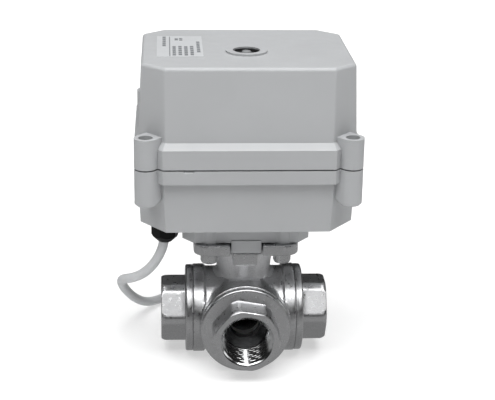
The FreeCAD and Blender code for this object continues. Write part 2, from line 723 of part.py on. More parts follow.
def lug_ends():
    """The lower ends of the lugs and webs, which slope up at 45 degrees into the housing."""
    body = doc.addObject("PartDesign::Body", "lug_ends")
    body.AllowCompound = True
    add_lugs(body, "lug_tip", "lug_low")
    pocket(body, circles(body, four("lug_x", "lug_y", "house_y"), "cover_screw_radius + running_gap",
                         "cover_screw_low - 0.5"), "lug_low")
    slopes = [
        cone("lug_tip_radius", "lug_tip_radius + 2 * (lug_low - lug_tip)", "2 * (lug_low - lug_tip)",
             x=x, y=y, z="lug_tip")
        for x, y in four("lug_x", "lug_y", "house_y")
    ]
    return common(body, fuse(*slopes))


def inner_octagon(half_x, half_y, cut_x, cut_y):
    return octagon(f"({half_x} - wall)", f"({half_y} - wall)", f"{cut_x} - wall * 0.4",
                   f"{cut_y} - wall * 0.4")


def make_base_housing():
    body = doc.addObject("PartDesign::Body", "base")
    low = octagon("base_low_half_x", "base_low_half_y", "corner_x", "corner_y")
    top = octagon("base_top_half_x", "base_top_half_y", "corner_x", "corner_y")
    rim = octagon("rim_half_x", "rim_half_y", "corner_x + 0.9", "corner_y + 0.7")
    loft(body, "Additive", polygon(body, low, height="base_low"), polygon(body, top, height="rim_low + 1"))
    pad(body, polygon(body, rim, height="rim_low"), "base_top - rim_low")
    seat_pad = octagon("seat_pad_half_x", "seat_pad_half_y", "seat_pad_cut_x", "seat_pad_cut_y", "0")
    pad(body, polygon(body, seat_pad, height="seat_pad_low"), "base_low + 1 - seat_pad_low")
    pad(body, circles(body, four("bolt_offset", "bolt_offset"), "boss_radius", "pad_top"),
        "base_low + 1 - pad_top")
    tab = [("-tab_half", "tab_front"), ("tab_half", "tab_front"), ("tab_half", "tab_back"),
           ("-tab_half", "tab_back")]
    pad(body, polygon(body, tab, height="tab_low"), "seat_pad_low + 1 - tab_low")
    add_lugs(body, "lug_low", "base_top")
    inner_low = inner_octagon("base_low_half_x", "base_low_half_y", "corner_x", "corner_y")
    inner_top = inner_octagon("base_top_half_x", "base_top_half_y", "corner_x", "corner_y")
    loft(body, "Subtractive", polygon(body, inner_low, height="floor_top"),
         polygon(body, inner_top, height="base_top + 0.5"))
    pad(body, circles(body, [("0", "0")], "hub_radius", "floor_top - 1"), "hub_top - floor_top + 1")
    pocket(body, circles(body, [("0", "0")], "shaft_radius + 0.4", "tab_low"), "hub_top")
    pocket(body, circles(body, [("0", "0")], "shaft_seal_radius + running_gap", "tab_low"),
           "shaft_seal_top + 0.1 - tab_low")
    pocket(body, circles(body, [("0", "0")], "bush_radius + running_gap", "shaft_seal_top"),
           "hub_top + 1 - shaft_seal_top")
    pocket(body, circles(body, four("bolt_offset", "bolt_offset"), "screw_radius + running_gap", "tab_low"),
           "screw_top + 0.6 - tab_low")
    pocket(body, circles(body, four("lug_x", "lug_y", "house_y"), "cover_screw_radius + running_gap",
                         "cover_screw_low - 0.5"), "base_top + 1 - cover_screw_low")
    pocket(body, circles(body, [("gland_x", "gland_y")], "gland_thread + running_gap", "base_low - 1"), "5")
    groove = octagon("(rim_half_x - seal_inset)", "(rim_half_y - seal_inset)", "corner_x + 0.6",
                     "corner_y + 0.4")
    kept = octagon("(rim_half_x - seal_inset - seal_width)", "(rim_half_y - seal_inset - seal_width)",
                   "corner_x", "corner_y")
    doc.recompute()
    groove_tool = octagon_frame(groove, kept, "base_top - seal_groove", "seal_groove + 1")
    notch_tool = block("0", "pry_width", "0", "pry_width", "0", "pry_width")
    move(notch_tool, "pry_left", "house_y - rim_half_y", "base_top - pry_deep", TURN(X_AXIS, 45))
    node("base_housing", cut(fuse(body, lug_ends()), groove_tool, notch_tool))
    return groove, kept


def octagon_frame(outer, inner, low, height):
    """The strip between two octagons."""
    body = doc.addObject("PartDesign::Body", "frame")
    pad(body, polygon(body, outer, height=low), height)
    pocket(body, polygon(body, inner, height=low), height)
    return body


def make_cover_seal(groove, kept):
    seal = octagon_frame(groove, kept, "base_top - seal_groove", "cover_low - base_top + seal_groove")
    node("cover_seal", seal)


def make_cover():
    body = doc.addObject("PartDesign::Body", "cover")
    rim = octagon("rim_half_x", "rim_half_y", "corner_x + 0.9", "corner_y + 0.7")
    foot = octagon("foot_half_x", "foot_half_y", "corner_x + 0.3", "corner_y - 0.6")
    top = octagon("top_half_x", "top_half_y", "top_corner_x", "top_corner_y")
    pad(body, polygon(body, rim, height="cover_low"), "cover_rim_top - cover_low")
    loft(body, "Additive", polygon(body, rim, height="cover_rim_top"), polygon(body, foot, height="foot_z"))
    loft(body, "Additive", polygon(body, foot, height="foot_z"), polygon(body, top, height="cover_top"))
    doc.recompute()
    solid = body.Tip
    height = number("cover_top")
    names = [
        f"Edge{index}" for index, found in enumerate(solid.Shape.Edges, start=1)
        if max(corner.Z for corner in found.Vertexes) > height - 0.01
    ]
    edge = body.newObject("PartDesign::Fillet", "top_edge")
    edge.Base = (solid, names)
    bind(edge, Radius="top_edge")
    add_lugs(body, "cover_low", "cover_lug_top")
    inner_foot = inner_octagon("foot_half_x", "foot_half_y", "corner_x + 0.3", "corner_y - 0.6")
    inner_top = inner_octagon("top_half_x", "top_half_y", "top_corner_x", "top_corner_y")
    loft(body, "Subtractive", polygon(body, inner_foot, height="cover_low - 0.5"),
         polygon(body, inner_top, height="cover_ceiling"))
    pad(body, circles(body, [("0", "0")], "ring_radius", "recess_boss"), "ring_top - recess_boss")
    pocket(body, circles(body, [("0", "0")], "recess_radius", "recess_floor"), "4")
    pocket(body, circles(body, [("0", "0")], "spindle_radius + running_gap", "recess_boss - 1"), "8")
    lugs = four("lug_x", "lug_y", "house_y")
    pocket(body, circles(body, lugs, "cover_screw_bore", "cover_screw_seat"), "cover_lug_top")
    pocket(body, circles(body, lugs, "cover_screw_radius + running_gap", "cover_low - 1"), "cover_lug_top")
    node("cover", body)


def make_cover_screws():
    screws = []
    for x, y in four("lug_x", "lug_y", "house_y"):
        head = cylinder("cover_head_radius", "cover_head_height", x=x, y=y, z="cover_screw_seat")
        shank = cylinder("cover_screw_radius", "cover_screw_seat - cover_screw_low + 1", x=x, y=y,
                         z="cover_screw_low")
        socket = hexagon("2.5", "1.6", x=x, y=y, z="cover_screw_seat + cover_head_height - 1.4")
        screws.append(cut(fuse(head, shank), socket))
    node("cover_screws", group(*screws))


def make_label():
    plate = block("label_left", "label_right", "label_front", "label_back", "cover_top",
                  "cover_top + label_thick")
    node("label", group(plate))


# ---------------------------------------------------------------- drive


def tooth_profile(module, teeth, addendum, dedendum, phase, thinning):
    """Corners of an involute gear outline with a tooth centred on the phase angle."""
    pitch = module * teeth / 2
    base = pitch * math.cos(math.radians(20))
    tip = pitch + addendum * module
    root = pitch - dedendum * module

    def half_angle(radius):
        """Half of the angle that the tooth fills at a radius."""
        pressure = math.acos(min(1.0, base / max(radius, base)))
        at_pitch = math.tan(math.radians(20)) - math.radians(20)
        here = math.tan(pressure) - pressure
        return (math.pi * module / 2 - thinning) / (2 * pitch) + at_pitch - here

    start = max(root, base)
    steps = 3
    radii = [start + (tip - start) * step / steps for step in range(steps + 1)]
    if root < base:
        radii.insert(0, root)
    corners = []
    for tooth in range(teeth):
        middle = phase + 2 * math.pi * tooth / teeth
        for radius in radii:
            corners.append((radius, middle - half_angle(radius)))
        for radius in reversed(radii):
            corners.append((radius, middle + half_angle(radius)))
    return [FreeCAD.Vector(r * math.cos(angle), r * math.sin(angle), 0) for r, angle in corners]


def gear_solid(module, teeth, addendum, phase, low, top):
    corners = tooth_profile(module, teeth, addendum, 1.15, phase, number("backlash"))
    outline = Part.makePolygon(corners + corners[:1])
    solid = Part.Face(outline).extrude(FreeCAD.Vector(0, 0, top - low))
    solid.translate(FreeCAD.Vector(0, 0, low))
    return solid


def train_centres():
    """Axes of the gear train in plan, and the bearing from each axis to the next."""
    second_distance = number("coarse_module * (output_teeth + pinion_teeth) / 2")
    first_distance = number("middle_module * (wheel_teeth + pinion_teeth) / 2")
    motor_distance = number("fine_module * (wheel_teeth + pinion_teeth) / 2")
    place = FreeCAD.Vector()
    centres = []
    for distance, bearing in (
        (second_distance, SECOND_BEARING), (first_distance, FIRST_BEARING), (motor_distance, MOTOR_BEARING),
    ):
        angle = math.radians(bearing)
        place = place + FreeCAD.Vector(distance * math.cos(angle), distance * math.sin(angle), 0)
        centres.append(place)
    return centres


def part_feature(label, shape, x=0.0, y=0.0):
    """A sub-part made directly from a shape, carried into the frame."""
    item = doc.addObject("Part::Feature", label)
    item.Shape = shape
    item.Label = label
    item.Placement = FreeCAD.Placement(
        FreeCAD.Vector(x, y + number("stem_y"), number("flow_height")), TURN())
    nodes.append(item)
    return item


def gap_phase(bearing, teeth):
    """Tooth phase that turns a gap towards a bearing given in degrees."""
    return math.radians(bearing) + math.pi / teeth


def make_output_gear():
    """Keyed to the shaft, lightened by a ring of round holes."""
    low = number("gear_seat")
    top = number("output_gear_top")
    phase = math.radians(SECOND_BEARING)
    solid = gear_solid(number("coarse_module"), int(number("output_teeth")), 0.75, phase, low, top)
    down = FreeCAD.Vector(0, 0, low - 1)
    tools = [Part.makeCylinder(number("gear_seat_radius + running_gap"), top, down)]
    holes = 6
    for index in range(holes):
        angle = 2 * math.pi * (index + 0.5) / holes
        centre = FreeCAD.Vector(14.5 * math.cos(angle), 14.5 * math.sin(angle), low - 1)
        tools.append(Part.makeCylinder(3.2, top, centre))
    keyway = Part.makeBox(number("key_out + 0.05"), number("2 * key_half + 0.04"), top,
                          FreeCAD.Vector(0, number("-key_half - 0.02"), low - 1))
    part_feature("output_gear", solid.cut(tools + [keyway]))


def compound_gear(label, centre, wheel, pinion, bearing_in, bearing_out):
    """A wheel and a pinion moulded together; each is (module, low, top).

    The wheel is driven from bearing_in and the pinion drives towards bearing_out."""
    wheel_teeth = int(number("wheel_teeth"))
    pinion_teeth = int(number("pinion_teeth"))
    wheel_module, wheel_low, wheel_top = wheel
    pinion_module, pinion_low, pinion_top = pinion
    big = gear_solid(wheel_module, wheel_teeth, 0.75, math.radians(bearing_in), wheel_low, wheel_top)
    small_phase = gap_phase(bearing_out, pinion_teeth)
    small = gear_solid(pinion_module, pinion_teeth, 1.0, small_phase, pinion_low, pinion_top)
    hub = Part.makeCylinder(3.4, wheel_top + 0.6 - wheel_low, FreeCAD.Vector(0, 0, wheel_low))
    bore = Part.makeCylinder(number("axle_radius + running_gap"), 60, FreeCAD.Vector(0, 0, pinion_low - 5))
    shape = big.fuse([small, hub]).removeSplitter().cut(bore)
    part_feature(label, shape, centre.x, centre.y)


def make_gear_train(second, first, motor):
    compound_gear(
        "second_stage_gear", second,
        (number("middle_module"), number("second_wheel_low"), number("second_wheel_top")),
        (number("coarse_module"), number("second_pinion_low"), number("second_wheel_low")),
        FIRST_BEARING, SECOND_BEARING + 180,
    )
    compound_gear(
        "first_stage_gear", first,
        (number("fine_module"), number("first_wheel_low"), number("first_wheel_top")),
        (number("middle_module"), number("first_pinion_low"), number("first_wheel_low")),
        MOTOR_BEARING, FIRST_BEARING + 180,
    )
    phase = gap_phase(MOTOR_BEARING + 180, int(number("pinion_teeth")))
    pinion = gear_solid(number("fine_module"), int(number("pinion_teeth")), 1.0, phase,
                        number("first_wheel_low - 0.6"), number("first_wheel_top + 0.4"))
    bore = Part.makeCylinder(number("motor_shaft_radius"), 20, FreeCAD.Vector(0, 0, 60))
    part_feature("motor_pinion", pinion.cut(bore), motor.x, motor.y)


def make_axles(second, first):
    """The second stage axle stands on the floor; the first stage axle hangs from the plate."""
    radius = number("axle_radius")
    top = number("plate_top")
    floor = number("floor_top")
    shoulder = number("second_pinion_low - 0.2")
    hanging = number("first_pinion_low - 1.2")
    low_end = FreeCAD.Vector(0, 0, floor)
    standing = Part.makeCylinder(radius, top - floor, low_end)
    foot = Part.makeCylinder(2 * radius, shoulder - floor, low_end)
    part_feature("second_stage_axle", standing.fuse(foot).removeSplitter(), second.x, second.y)
    pin = Part.makeCylinder(radius, top - hanging, FreeCAD.Vector(0, 0, hanging))
    part_feature("first_stage_axle", pin, first.x, first.y)


def make_output_shaft():
    shaft = turned([
        ("0", "shaft_low"), ("shaft_radius", "shaft_low"), ("shaft_radius", "shaft_shoulder"),
        ("shaft_shoulder_radius", "shaft_shoulder"), ("shaft_shoulder_radius", "gear_seat"),
        ("gear_seat_radius", "gear_seat"), ("gear_seat_radius", "output_gear_top"),
        ("shaft_upper_radius", "output_gear_top"), ("shaft_upper_radius", "shaft_top"),
        ("0", "shaft_top"),
    ])
    socket = block("-socket_half", "socket_half", "-socket_half", "socket_half", "shaft_low - 1",
                   "socket_top")
    keyway = block("key_in", "key_out", "-key_half", "key_half", "gear_seat", "output_gear_top + 1")
    node("output_shaft", cut(shaft, socket, keyway))
    key = block("key_in", "key_out", "-key_half", "key_half", "gear_seat", "output_gear_top")
    node("gear_key", group(key))


def make_bearings():
    shaft_side = "shaft_radius + running_gap"
    node("lower_bush", ring(shaft_side, "bush_radius", "bush_low", "hub_top"))
    node("shaft_seal", ring(shaft_side, "shaft_seal_radius", "shaft_seal_low", "shaft_seal_top"))
    upper = "shaft_upper_radius + running_gap"
    node("upper_bush", turned([
        (upper, "plate_low - 0.6"), ("upper_bush_radius", "plate_low - 0.6"),
        ("upper_bush_radius", "plate_top"), ("upper_bush_radius + 1.5", "plate_top"),
        ("upper_bush_radius + 1.5", "plate_top + 1"), (upper, "plate_top + 1"),
    ]))


def make_gear_plate(second, first, motor):
    body = doc.addObject("PartDesign::Body", "plate")
    outline = [
        ("plate_corner - plate_half_x", "plate_front"), ("plate_half_x - plate_corner", "plate_front"),
        ("plate_half_x", "plate_front + plate_corner"), ("plate_half_x", "plate_back - plate_corner"),
        ("plate_half_x - plate_corner", "plate_back"), ("plate_corner - plate_half_x", "plate_back"),
        ("-plate_half_x", "plate_back - plate_corner"), ("-plate_half_x", "plate_front + plate_corner"),
    ]
    pad(body, polygon(body, outline, height="plate_low"), "plate_top - plate_low")
    pocket(body, circles(body, [("0", "0")], "upper_bush_radius + running_gap", "plate_low - 1"), "4")
    pocket(body, circles(body, post_centres(), "plate_screw_hole", "plate_low - 1"), "4")
    doc.recompute()
    holes = []
    for centre, radius in ((second, "axle_radius"), (first, "axle_radius"), (motor, "motor_boss")):
        hole = cylinder(f"{radius} + running_gap", "4")
        hole.Placement.Base = FreeCAD.Vector(centre.x, centre.y, number("plate_low - 1"))
        holes.append(hole)
    for side in (-1, 1):
        hole = cylinder("fine_hole", "4")
        across = number("motor_screw_out") * side
        hole.Placement.Base = FreeCAD.Vector(motor.x + across, motor.y, number("plate_low - 1"))
        holes.append(hole)
    node("gear_plate", cut(body, *holes))


def post_centres():
    return [
        (f"{sign}post_x", y) for sign in ("-", "+") for y in ("post_front", "post_back")
    ]


def make_plate_posts():
    posts = []
    screws = []
    for x, y in post_centres():
        post = cylinder("post_radius", "plate_low - floor_top", x=x, y=y, z="floor_top")
        bore = cylinder("plate_screw_hole", "9", x=x, y=y, z="plate_low - 8")
        posts.append(cut(post, bore))
        head = cylinder("plate_head_radius", "plate_head_height", x=x, y=y, z="plate_top")
        shank = cylinder("plate_screw_radius", "plate_top - plate_low + 7", x=x, y=y, z="plate_low - 6.5")
        cross = [
            block(f"{x} - {long}", f"{x} + {long}", f"{y} - {wide}", f"{y} + {wide}", "plate_top + 1",
                  "plate_top + plate_head_height + 1")
            for long, wide in (("cross_reach", "cross_half"), ("cross_half", "cross_reach"))
        ]
        screws.append(cut(fuse(head, shank), *cross))
    node("plate_posts", group(*posts))
    node("plate_screws", group(*screws))


def make_motor(centre):
    """Can with end bell, and a rotor on a shaft that carries the first pinion."""
    low = number("plate_top")
    top = number("motor_top")
    radius = number("motor_radius")
    wall = number("motor_wall")
    shaft = number("motor_shaft_radius")
    gap = number("running_gap")

    def drum(size, start, end):
        return Part.makeCylinder(size, end - start, FreeCAD.Vector(0, 0, start))

    can = drum(radius, low, top - 2).fuse(drum(number("motor_boss"), number("plate_low"), low))
    can = can.cut([drum(radius - wall, low + 2, top), drum(shaft + gap, low - 5, top)])
    across = number("motor_screw_out")
    screw_holes = [
        Part.makeCylinder(number("fine_hole"), 3, FreeCAD.Vector(across * side, 0, low - 1))
        for side in (-1, 1)
    ]
    part_feature("motor_can", can.cut(screw_holes), centre.x, centre.y)
    bearing = drum(number("motor_boss") + 0.5, top, top + 1.5)
    bell = drum(radius, top - 2, top).fuse(bearing).cut(drum(shaft + gap, top - 3, top + 0.5))
    part_feature("motor_end_bell", bell, centre.x, centre.y)
    rotor = drum(number("rotor_radius"), low + 5, top - 5)
    rotor = rotor.fuse(drum(shaft, number("first_wheel_low - 1"), top - 0.5)).removeSplitter()
    part_feature("motor_rotor", rotor, centre.x, centre.y)


def make_cam(label, z, opens_at):
    """A ring cam whose lobe reaches the switch at one end of the quarter turn."""
    low = number(z)
    height = number("cam_height")
    base = Part.makeCylinder(number("cam_radius"), height, FreeCAD.Vector(0, 0, low))
    lobe = Part.makeCylinder(number("cam_lobe"), height, FreeCAD.Vector(0, 0, low), Z_AXIS, LOBE_ANGLE)
    lobe.rotate(FreeCAD.Vector(), Z_AXIS, opens_at - LOBE_ANGLE / 2)
    bore = Part.makeCylinder(number("shaft_upper_radius"), height, FreeCAD.Vector(0, 0, low))
    part_feature(label, base.fuse(lobe).removeSplitter().cut(bore))


def make_switches():
    """Two snap switches, one above the other, with their plungers towards the cams."""
    holes = [("switch_x + 5", "-switch_half + 5"), ("switch_x + 5", "switch_half - 5")]
    for label, low in (("closed_switch", "low_switch_z"), ("open_switch", "high_switch_z")):
        case = block("switch_x", "switch_x + switch_deep", "-switch_half", "switch_half", low,
                     f"{low} + switch_height")
        plunger = cylinder("0.9", "2.2", x="cam_lobe + 0.3", z=f"{low} + switch_height / 2",
                           turn=PORT_TURNS["right"])
        blades = [
            block("switch_x + switch_deep - 0.5", "switch_x + switch_deep + 3", f"{y} - 0.4", f"{y} + 0.4",
                  f"{low} + 1.5", f"{low} + 4.5")
            for y in ("-7", "0", "7")
        ]
        bores = [cylinder("fine_hole", "switch_height + 2", x=x, y=y, z=f"{low} - 1") for x, y in holes]
        node(label, cut(fuse(case, plunger, *blades), *bores))
    bracket = block("switch_x", "switch_x + switch_deep", "-switch_half", "switch_half", "plate_top",
                    "low_switch_z")
    bracket_bores = [cylinder("fine_hole", "4", x=x, y=y, z="plate_top - 1") for x, y in holes]
    node("switch_bracket", cut(bracket, *bracket_bores))
    return [small_screw(x, y, "plate_top", "high_switch_z + switch_height") for x, y in holes]


def small_screw(x, y, low, seat):
    """A 2 mm screw with a pan head, pointing down."""
    shank = cylinder("fine_radius", f"{seat} + 0.5 - ({low})", x=x, y=y, z=low)
    return fuse(shank, cylinder("fine_head_radius", "fine_head_height", x=x, y=y, z=seat))


def make_small_screws(switch_screws, board_screws, motor):
    """All the 2 mm screws: two through the switches, two in the board, two under the motor."""
    low = number("plate_low - fine_head_height")
    motor_screws = []
    for side in (-1, 1):
        shank = cylinder("fine_radius", "5")
        head = cylinder("fine_head_radius", "fine_head_height")
        across = number("motor_screw_out") * side
        for piece in (shank, head):
            piece.Placement.Base = FreeCAD.Vector(motor.x + across, motor.y, low)
        motor_screws.append(fuse(shank, head))
    node("small_screws", group(*switch_screws, *board_screws, *motor_screws))


def make_terminal_block(low):
    """A row of five ways, each with a wire entry in front and a screw well on top."""
    top = f"{low} + terminal_height"
    back = "terminal_front + terminal_deep"
    case = block("terminal_left", "terminal_left + terminal_width", "terminal_front", back, low, top)
    tools = []
    for way in range(5):
        middle = f"terminal_left + way_inset + {way} * way_pitch"
        tools.append(block(f"{middle} - way_half", f"{middle} + way_half", "terminal_front - 1",
                           "terminal_front + way_deep", f"{low} + 2", f"{low} + 2 + way_height"))
        tools.append(cylinder("well_radius", "way_deep + 1", x=middle, y="terminal_front + 4.4",
                              z=f"{top} - way_deep"))
    node("terminal_block", cut(case, *tools))


def make_electronics():
    """Circuit board with its parts, on two short pillars from the gear plate."""
    top = "board_low + board_thick"
    board = block("-board_half_x", "board_half_x", "board_front", "board_back", "board_low", top)
    holes = [(f"{sign}board_hole_x", "board_hole_y") for sign in ("-", "+")]
    bores = [cylinder("fine_hole", "4", x=x, y=y, z="board_low - 1") for x, y in holes]
    node("circuit_board", cut(board, *bores))
    pillars = []
    screws = []
    for x, y in holes:
        pillar = cylinder("pillar_radius", "board_low - plate_top", x=x, y=y, z="plate_top")
        pillars.append(cut(pillar, cylinder("fine_hole", "5", x=x, y=y, z="board_low - 4")))
        screws.append(small_screw(x, y, "board_low - 3.5", top))
    node("board_pillars", group(*pillars))
    make_terminal_block(top)
    relay = block("relay_left", "relay_right", "terminal_front", "relay_back", top, f"{top} + relay_height")
    node("relay", group(relay))
    capacitor = cylinder("capacitor_radius", "capacitor_height", x="capacitor_x", y="capacitor_y", z=top)
    node("capacitor", group(capacitor))
    return screws


def make_spindle():
    node("position_spindle", turned([
        ("0", "shaft_top"), ("spindle_foot_radius", "shaft_top"), ("spindle_foot_radius", "spindle_foot_top"),
        ("spindle_radius", "spindle_foot_top"), ("spindle_radius", "spindle_top - 0.3"),
        ("spindle_radius - 0.3", "spindle_top"), ("0", "spindle_top"),
    ]))
    inside = "spindle_radius + running_gap"
    outside = "recess_radius - running_gap"
    node("spindle_seal", turned([
        (inside, "recess_floor"), (outside, "recess_floor"), (outside, "ring_top - seal_lip"),
        ("recess_radius - seal_lip", "ring_top - seal_lip"),
        ("recess_radius - seal_lip", "recess_floor + 1.1"), (inside, "recess_floor + 1.1"),
    ]))


# ---------------------------------------------------------------- cable


def make_gland():
    at = {"x": "gland_x", "y": "gland_y"}
    bore = "cable_radius + 0.3"
    flange = hexagon("gland_nut_flats", "2", z="base_low - 2", spin=12, **at)
    thread = cylinder("gland_thread", "floor_top + 4 - base_low", z="base_low - 1", **at)
    stub = cylinder("gland_stub", "3", z="base_low - 4.6", **at)
    hollow = cylinder(bore, "20", z="base_low - 6", **at)
    node("gland_body", cut(fuse(flange, thread, stub), hollow))
    locknut = cut(hexagon("gland_lock_flats", "gland_lock_height", z="floor_top", **at),
                  cylinder("gland_thread + running_gap", "5", z="floor_top - 1", **at))
    node("gland_locknut", locknut)
    nut_shape = turned([
        ("0", "gland_low"), ("gland_tip_radius", "gland_low"), ("gland_nut_flats / 2", "gland_low + 2.2"),
        ("gland_nut_flats / 2 + 0.55", "gland_low + 3.2"), ("gland_nut_flats / 2 + 0.55", "gland_nut_top"),
        ("0", "gland_nut_top"),
    ])
    move(nut_shape, **at)
    flats = hexagon("gland_nut_flats", "gland_nut_top - gland_low", z="gland_low", spin=12, **at)
    nut = common(nut_shape, flats)
    inside = fuse(
        cylinder("gland_stub + running_gap", "10", z="base_low - 6.6", **at),
        cylinder("cable_radius + 0.5", "10", z="gland_low - 1", **at),
    )
    node("gland_nut", cut(nut, inside))
    seal = ring("cable_radius + running_gap", "gland_stub", "base_low - 6.5", "base_low - 4.7")
    node("gland_seal", seal, x="gland_x", y="gland_y")


def cable_route():
    """Route points about the crossing: out of the gland, down to the bench and round behind."""
    down = number("cable_radius - flow_height")
    gland_x = number("gland_x")
    gland_y = number("gland_y")
    return [
        FreeCAD.Vector(gland_x, gland_y, number("cable_top")),
        FreeCAD.Vector(gland_x, gland_y, number("cable_leaves")),
        FreeCAD.Vector(-35.9, -10.0, 26.2),
        FreeCAD.Vector(-41.2, -7.4, 19.0),
        FreeCAD.Vector(-47.0, -1.6, 14.2),
        FreeCAD.Vector(-51.0, 6.6, 10.6),
        FreeCAD.Vector(-52.0, 15.4, 5.2),
        FreeCAD.Vector(-50.4, 23.6, -2.0),
        FreeCAD.Vector(-46.8, 31.0, -9.2),
        FreeCAD.Vector(-41.8, 37.8, -14.6),
        FreeCAD.Vector(-35.6, 45.4, down),
        FreeCAD.Vector(-28.0, 53.6, down),
        FreeCAD.Vector(-20.0, 61.2, down),
    ]


def rounded_path(points):
    """Straight runs joined by tangent arcs as large as the two runs allow."""
    edges = []
    start = points[0]
    for before, corner, after in zip(points, points[1:], points[2:]):
        back = before - corner
        ahead = after - corner
        turn = math.pi - back.getAngle(ahead)
        tangent = 0.45 * min(back.Length, ahead.Length)
        radius = tangent / math.tan(turn / 2)
        print(f"cable corner turns {math.degrees(turn):.1f} degrees on radius {radius:.1f} mm")
        back.normalize()
        ahead.normalize()
        first = corner + back * tangent
        last = corner + ahead * tangent
        middle_way = back + ahead
        middle_way.normalize()
        middle = corner + middle_way * (radius / math.cos(turn / 2) - radius)
        edges.append(Part.LineSegment(start, first).toShape())
        edges.append(Part.Arc(first, middle, last).toShape())
        start = last
    edges.append(Part.LineSegment(start, points[-1]).toShape())
    return Part.Wire(edges)


def tube(points, radius):
    path = rounded_path(points)
    direction = points[1] - points[0]
    section = Part.Wire([Part.Circle(points[0], direction, radius).toShape()])
    solid = path.makePipeShell([section], True, False)
    print(f"tube volume {solid.Volume:.1f}, section times length {math.pi * radius ** 2 * path.Length:.1f}")
    print(f"tube length {path.Length:.1f}")
    return solid


def coil_solids():
    """The coil's outer shape, pinched by its tie, and the tie."""
    centre = FreeCAD.Vector(0, number("coil_y"), number("-flow_height"))
    inner = number("coil_inner")
    outer = number("coil_outer")
    height = number("coil_height")
    drum = Part.makeCylinder(outer, height, centre).cut(Part.makeCylinder(inner, height, centre))
    width = number("tie_width")
    thick = number("tie_thick")
    corner = centre + FreeCAD.Vector(inner - 1, -width / 2, 0)
    inset = FreeCAD.Vector(1 + thick, 0, thick)
    band = Part.makeBox(outer - inner + 2, width, height, corner).common(drum)
    core = Part.makeBox(outer - inner - 2 * thick, width, height - 2 * thick, corner + inset)
    tie = band.cut(core)
    return drum.cut(tie), tie


def lead_route(index):
    """One conductor along the inside of the coil, fanned out from its neighbours."""
    low = number("lead_radius - flow_height")
    points = []
    for bearing, radius, fan in ((166, 16.9, 1.5), (151, 16.6, 1.8), (134, 16.0, 2.5), (115, 15.0, 3.4)):
        way = math.radians(bearing)
        reach = radius - fan * index
        points.append(FreeCAD.Vector(reach * math.cos(way), number("coil_y") + reach * math.sin(way), low))
    return points


def make_cable():
    coil, tie = coil_solids()
    lay = tube(cable_route(), number("cable_radius"))
    part_feature("cable", lay.cut(coil))
    part_feature("cable_coil", coil)
    part_feature("cable_tie", tie)
    leads = [tube(lead_route(index), number("lead_radius")) for index in range(3)]
    part_feature("cable_leads", Part.makeCompound(leads))


# ---------------------------------------------------------------- whole object


def build():
    fill_sheet()
    make_valve_body()
    for side, spin in (("left", 31.0), ("right", 29.0), ("front", 40.0)):
        make_end_cap(side, spin)
        make_gasket(side)
    for side in PORT_TURNS:
        make_seat(side)
    make_ball()
    make_stem()
    make_stem_seals()
    make_mounting_screws()
    groove, kept = make_base_housing()
    make_cover_seal(groove, kept)
    make_cover()
    make_cover_screws()
    make_label()
    second, first, motor = train_centres()
    make_output_shaft()
    make_output_gear()
    make_bearings()
    make_gear_plate(second, first, motor)
    make_plate_posts()
    make_gear_train(second, first, motor)
    make_axles(second, first)
    make_motor(motor)
    make_cam("lower_cam", "low_cam_z", 0)
    make_cam("upper_cam", "high_cam_z", -90)
    switch_screws = make_switches()
    board_screws = make_electronics()
    make_small_screws(switch_screws, board_screws, motor)
    make_spindle()
    make_gland()
    make_cable()
    doc.recompute()


def check():
    for item in doc.Objects:
        if "Invalid" in item.State or "Error" in item.State:
            raise RuntimeError(f"{item.Name} {item.Label} failed: {item.State}")
    for item in nodes:
        if item.Shape.isNull() or not item.Shape.isValid():
            raise RuntimeError(f"{item.Label} has no valid shape")


def write_parts():
    os.makedirs("parts", exist_ok=True)
    for item in nodes:
        item.Shape.exportStep(f"parts/{item.Label}.step")
        box = item.Shape.BoundBox
        print(f"{item.Label}: {len(item.Shape.Solids)} solids, {item.Shape.Volume:.1f} mm3, "
              f"x {box.XMin:.1f} {box.XMax:.1f}, y {box.YMin:.1f} {box.YMax:.1f}, "
              f"z {box.ZMin:.1f} {box.ZMax:.1f}")


build()
check()
write_parts()
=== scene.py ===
import json
import math

import bmesh
import bpy
from mathutils import Matrix, Vector


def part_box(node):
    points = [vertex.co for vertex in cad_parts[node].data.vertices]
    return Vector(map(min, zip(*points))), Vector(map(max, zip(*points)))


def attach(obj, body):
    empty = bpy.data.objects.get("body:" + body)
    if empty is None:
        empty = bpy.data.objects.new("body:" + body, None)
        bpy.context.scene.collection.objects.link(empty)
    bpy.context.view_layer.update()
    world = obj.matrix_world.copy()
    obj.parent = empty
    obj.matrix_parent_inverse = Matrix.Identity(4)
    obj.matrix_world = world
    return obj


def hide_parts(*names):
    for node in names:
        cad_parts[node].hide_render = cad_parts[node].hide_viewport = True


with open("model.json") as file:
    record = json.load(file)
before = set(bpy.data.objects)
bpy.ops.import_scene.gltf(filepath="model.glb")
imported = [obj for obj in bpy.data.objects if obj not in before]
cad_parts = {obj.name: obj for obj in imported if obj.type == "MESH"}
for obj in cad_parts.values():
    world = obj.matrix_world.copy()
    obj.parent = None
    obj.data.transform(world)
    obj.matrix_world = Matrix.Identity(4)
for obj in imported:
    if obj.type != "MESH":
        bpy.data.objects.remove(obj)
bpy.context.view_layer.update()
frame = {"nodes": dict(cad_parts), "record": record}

MM = 0.001
NODES = frame["nodes"]
MATERIALS = {}
# The three port axes cross here. Places and sizes below are counted from it, in millimetres.
PORT = next(mount for mount in frame["record"]["mounts"] if mount["name"] == "left_port")
CROSSING = Vector((0.0, PORT["pos_m"][1], PORT["pos_m"][2]))


def at(x, y, z):
    """A place given in millimetres from the crossing of the ports."""
    return CROSSING + Vector((x, y, z)) * MM


# ------------------------------------------------------------------ camera


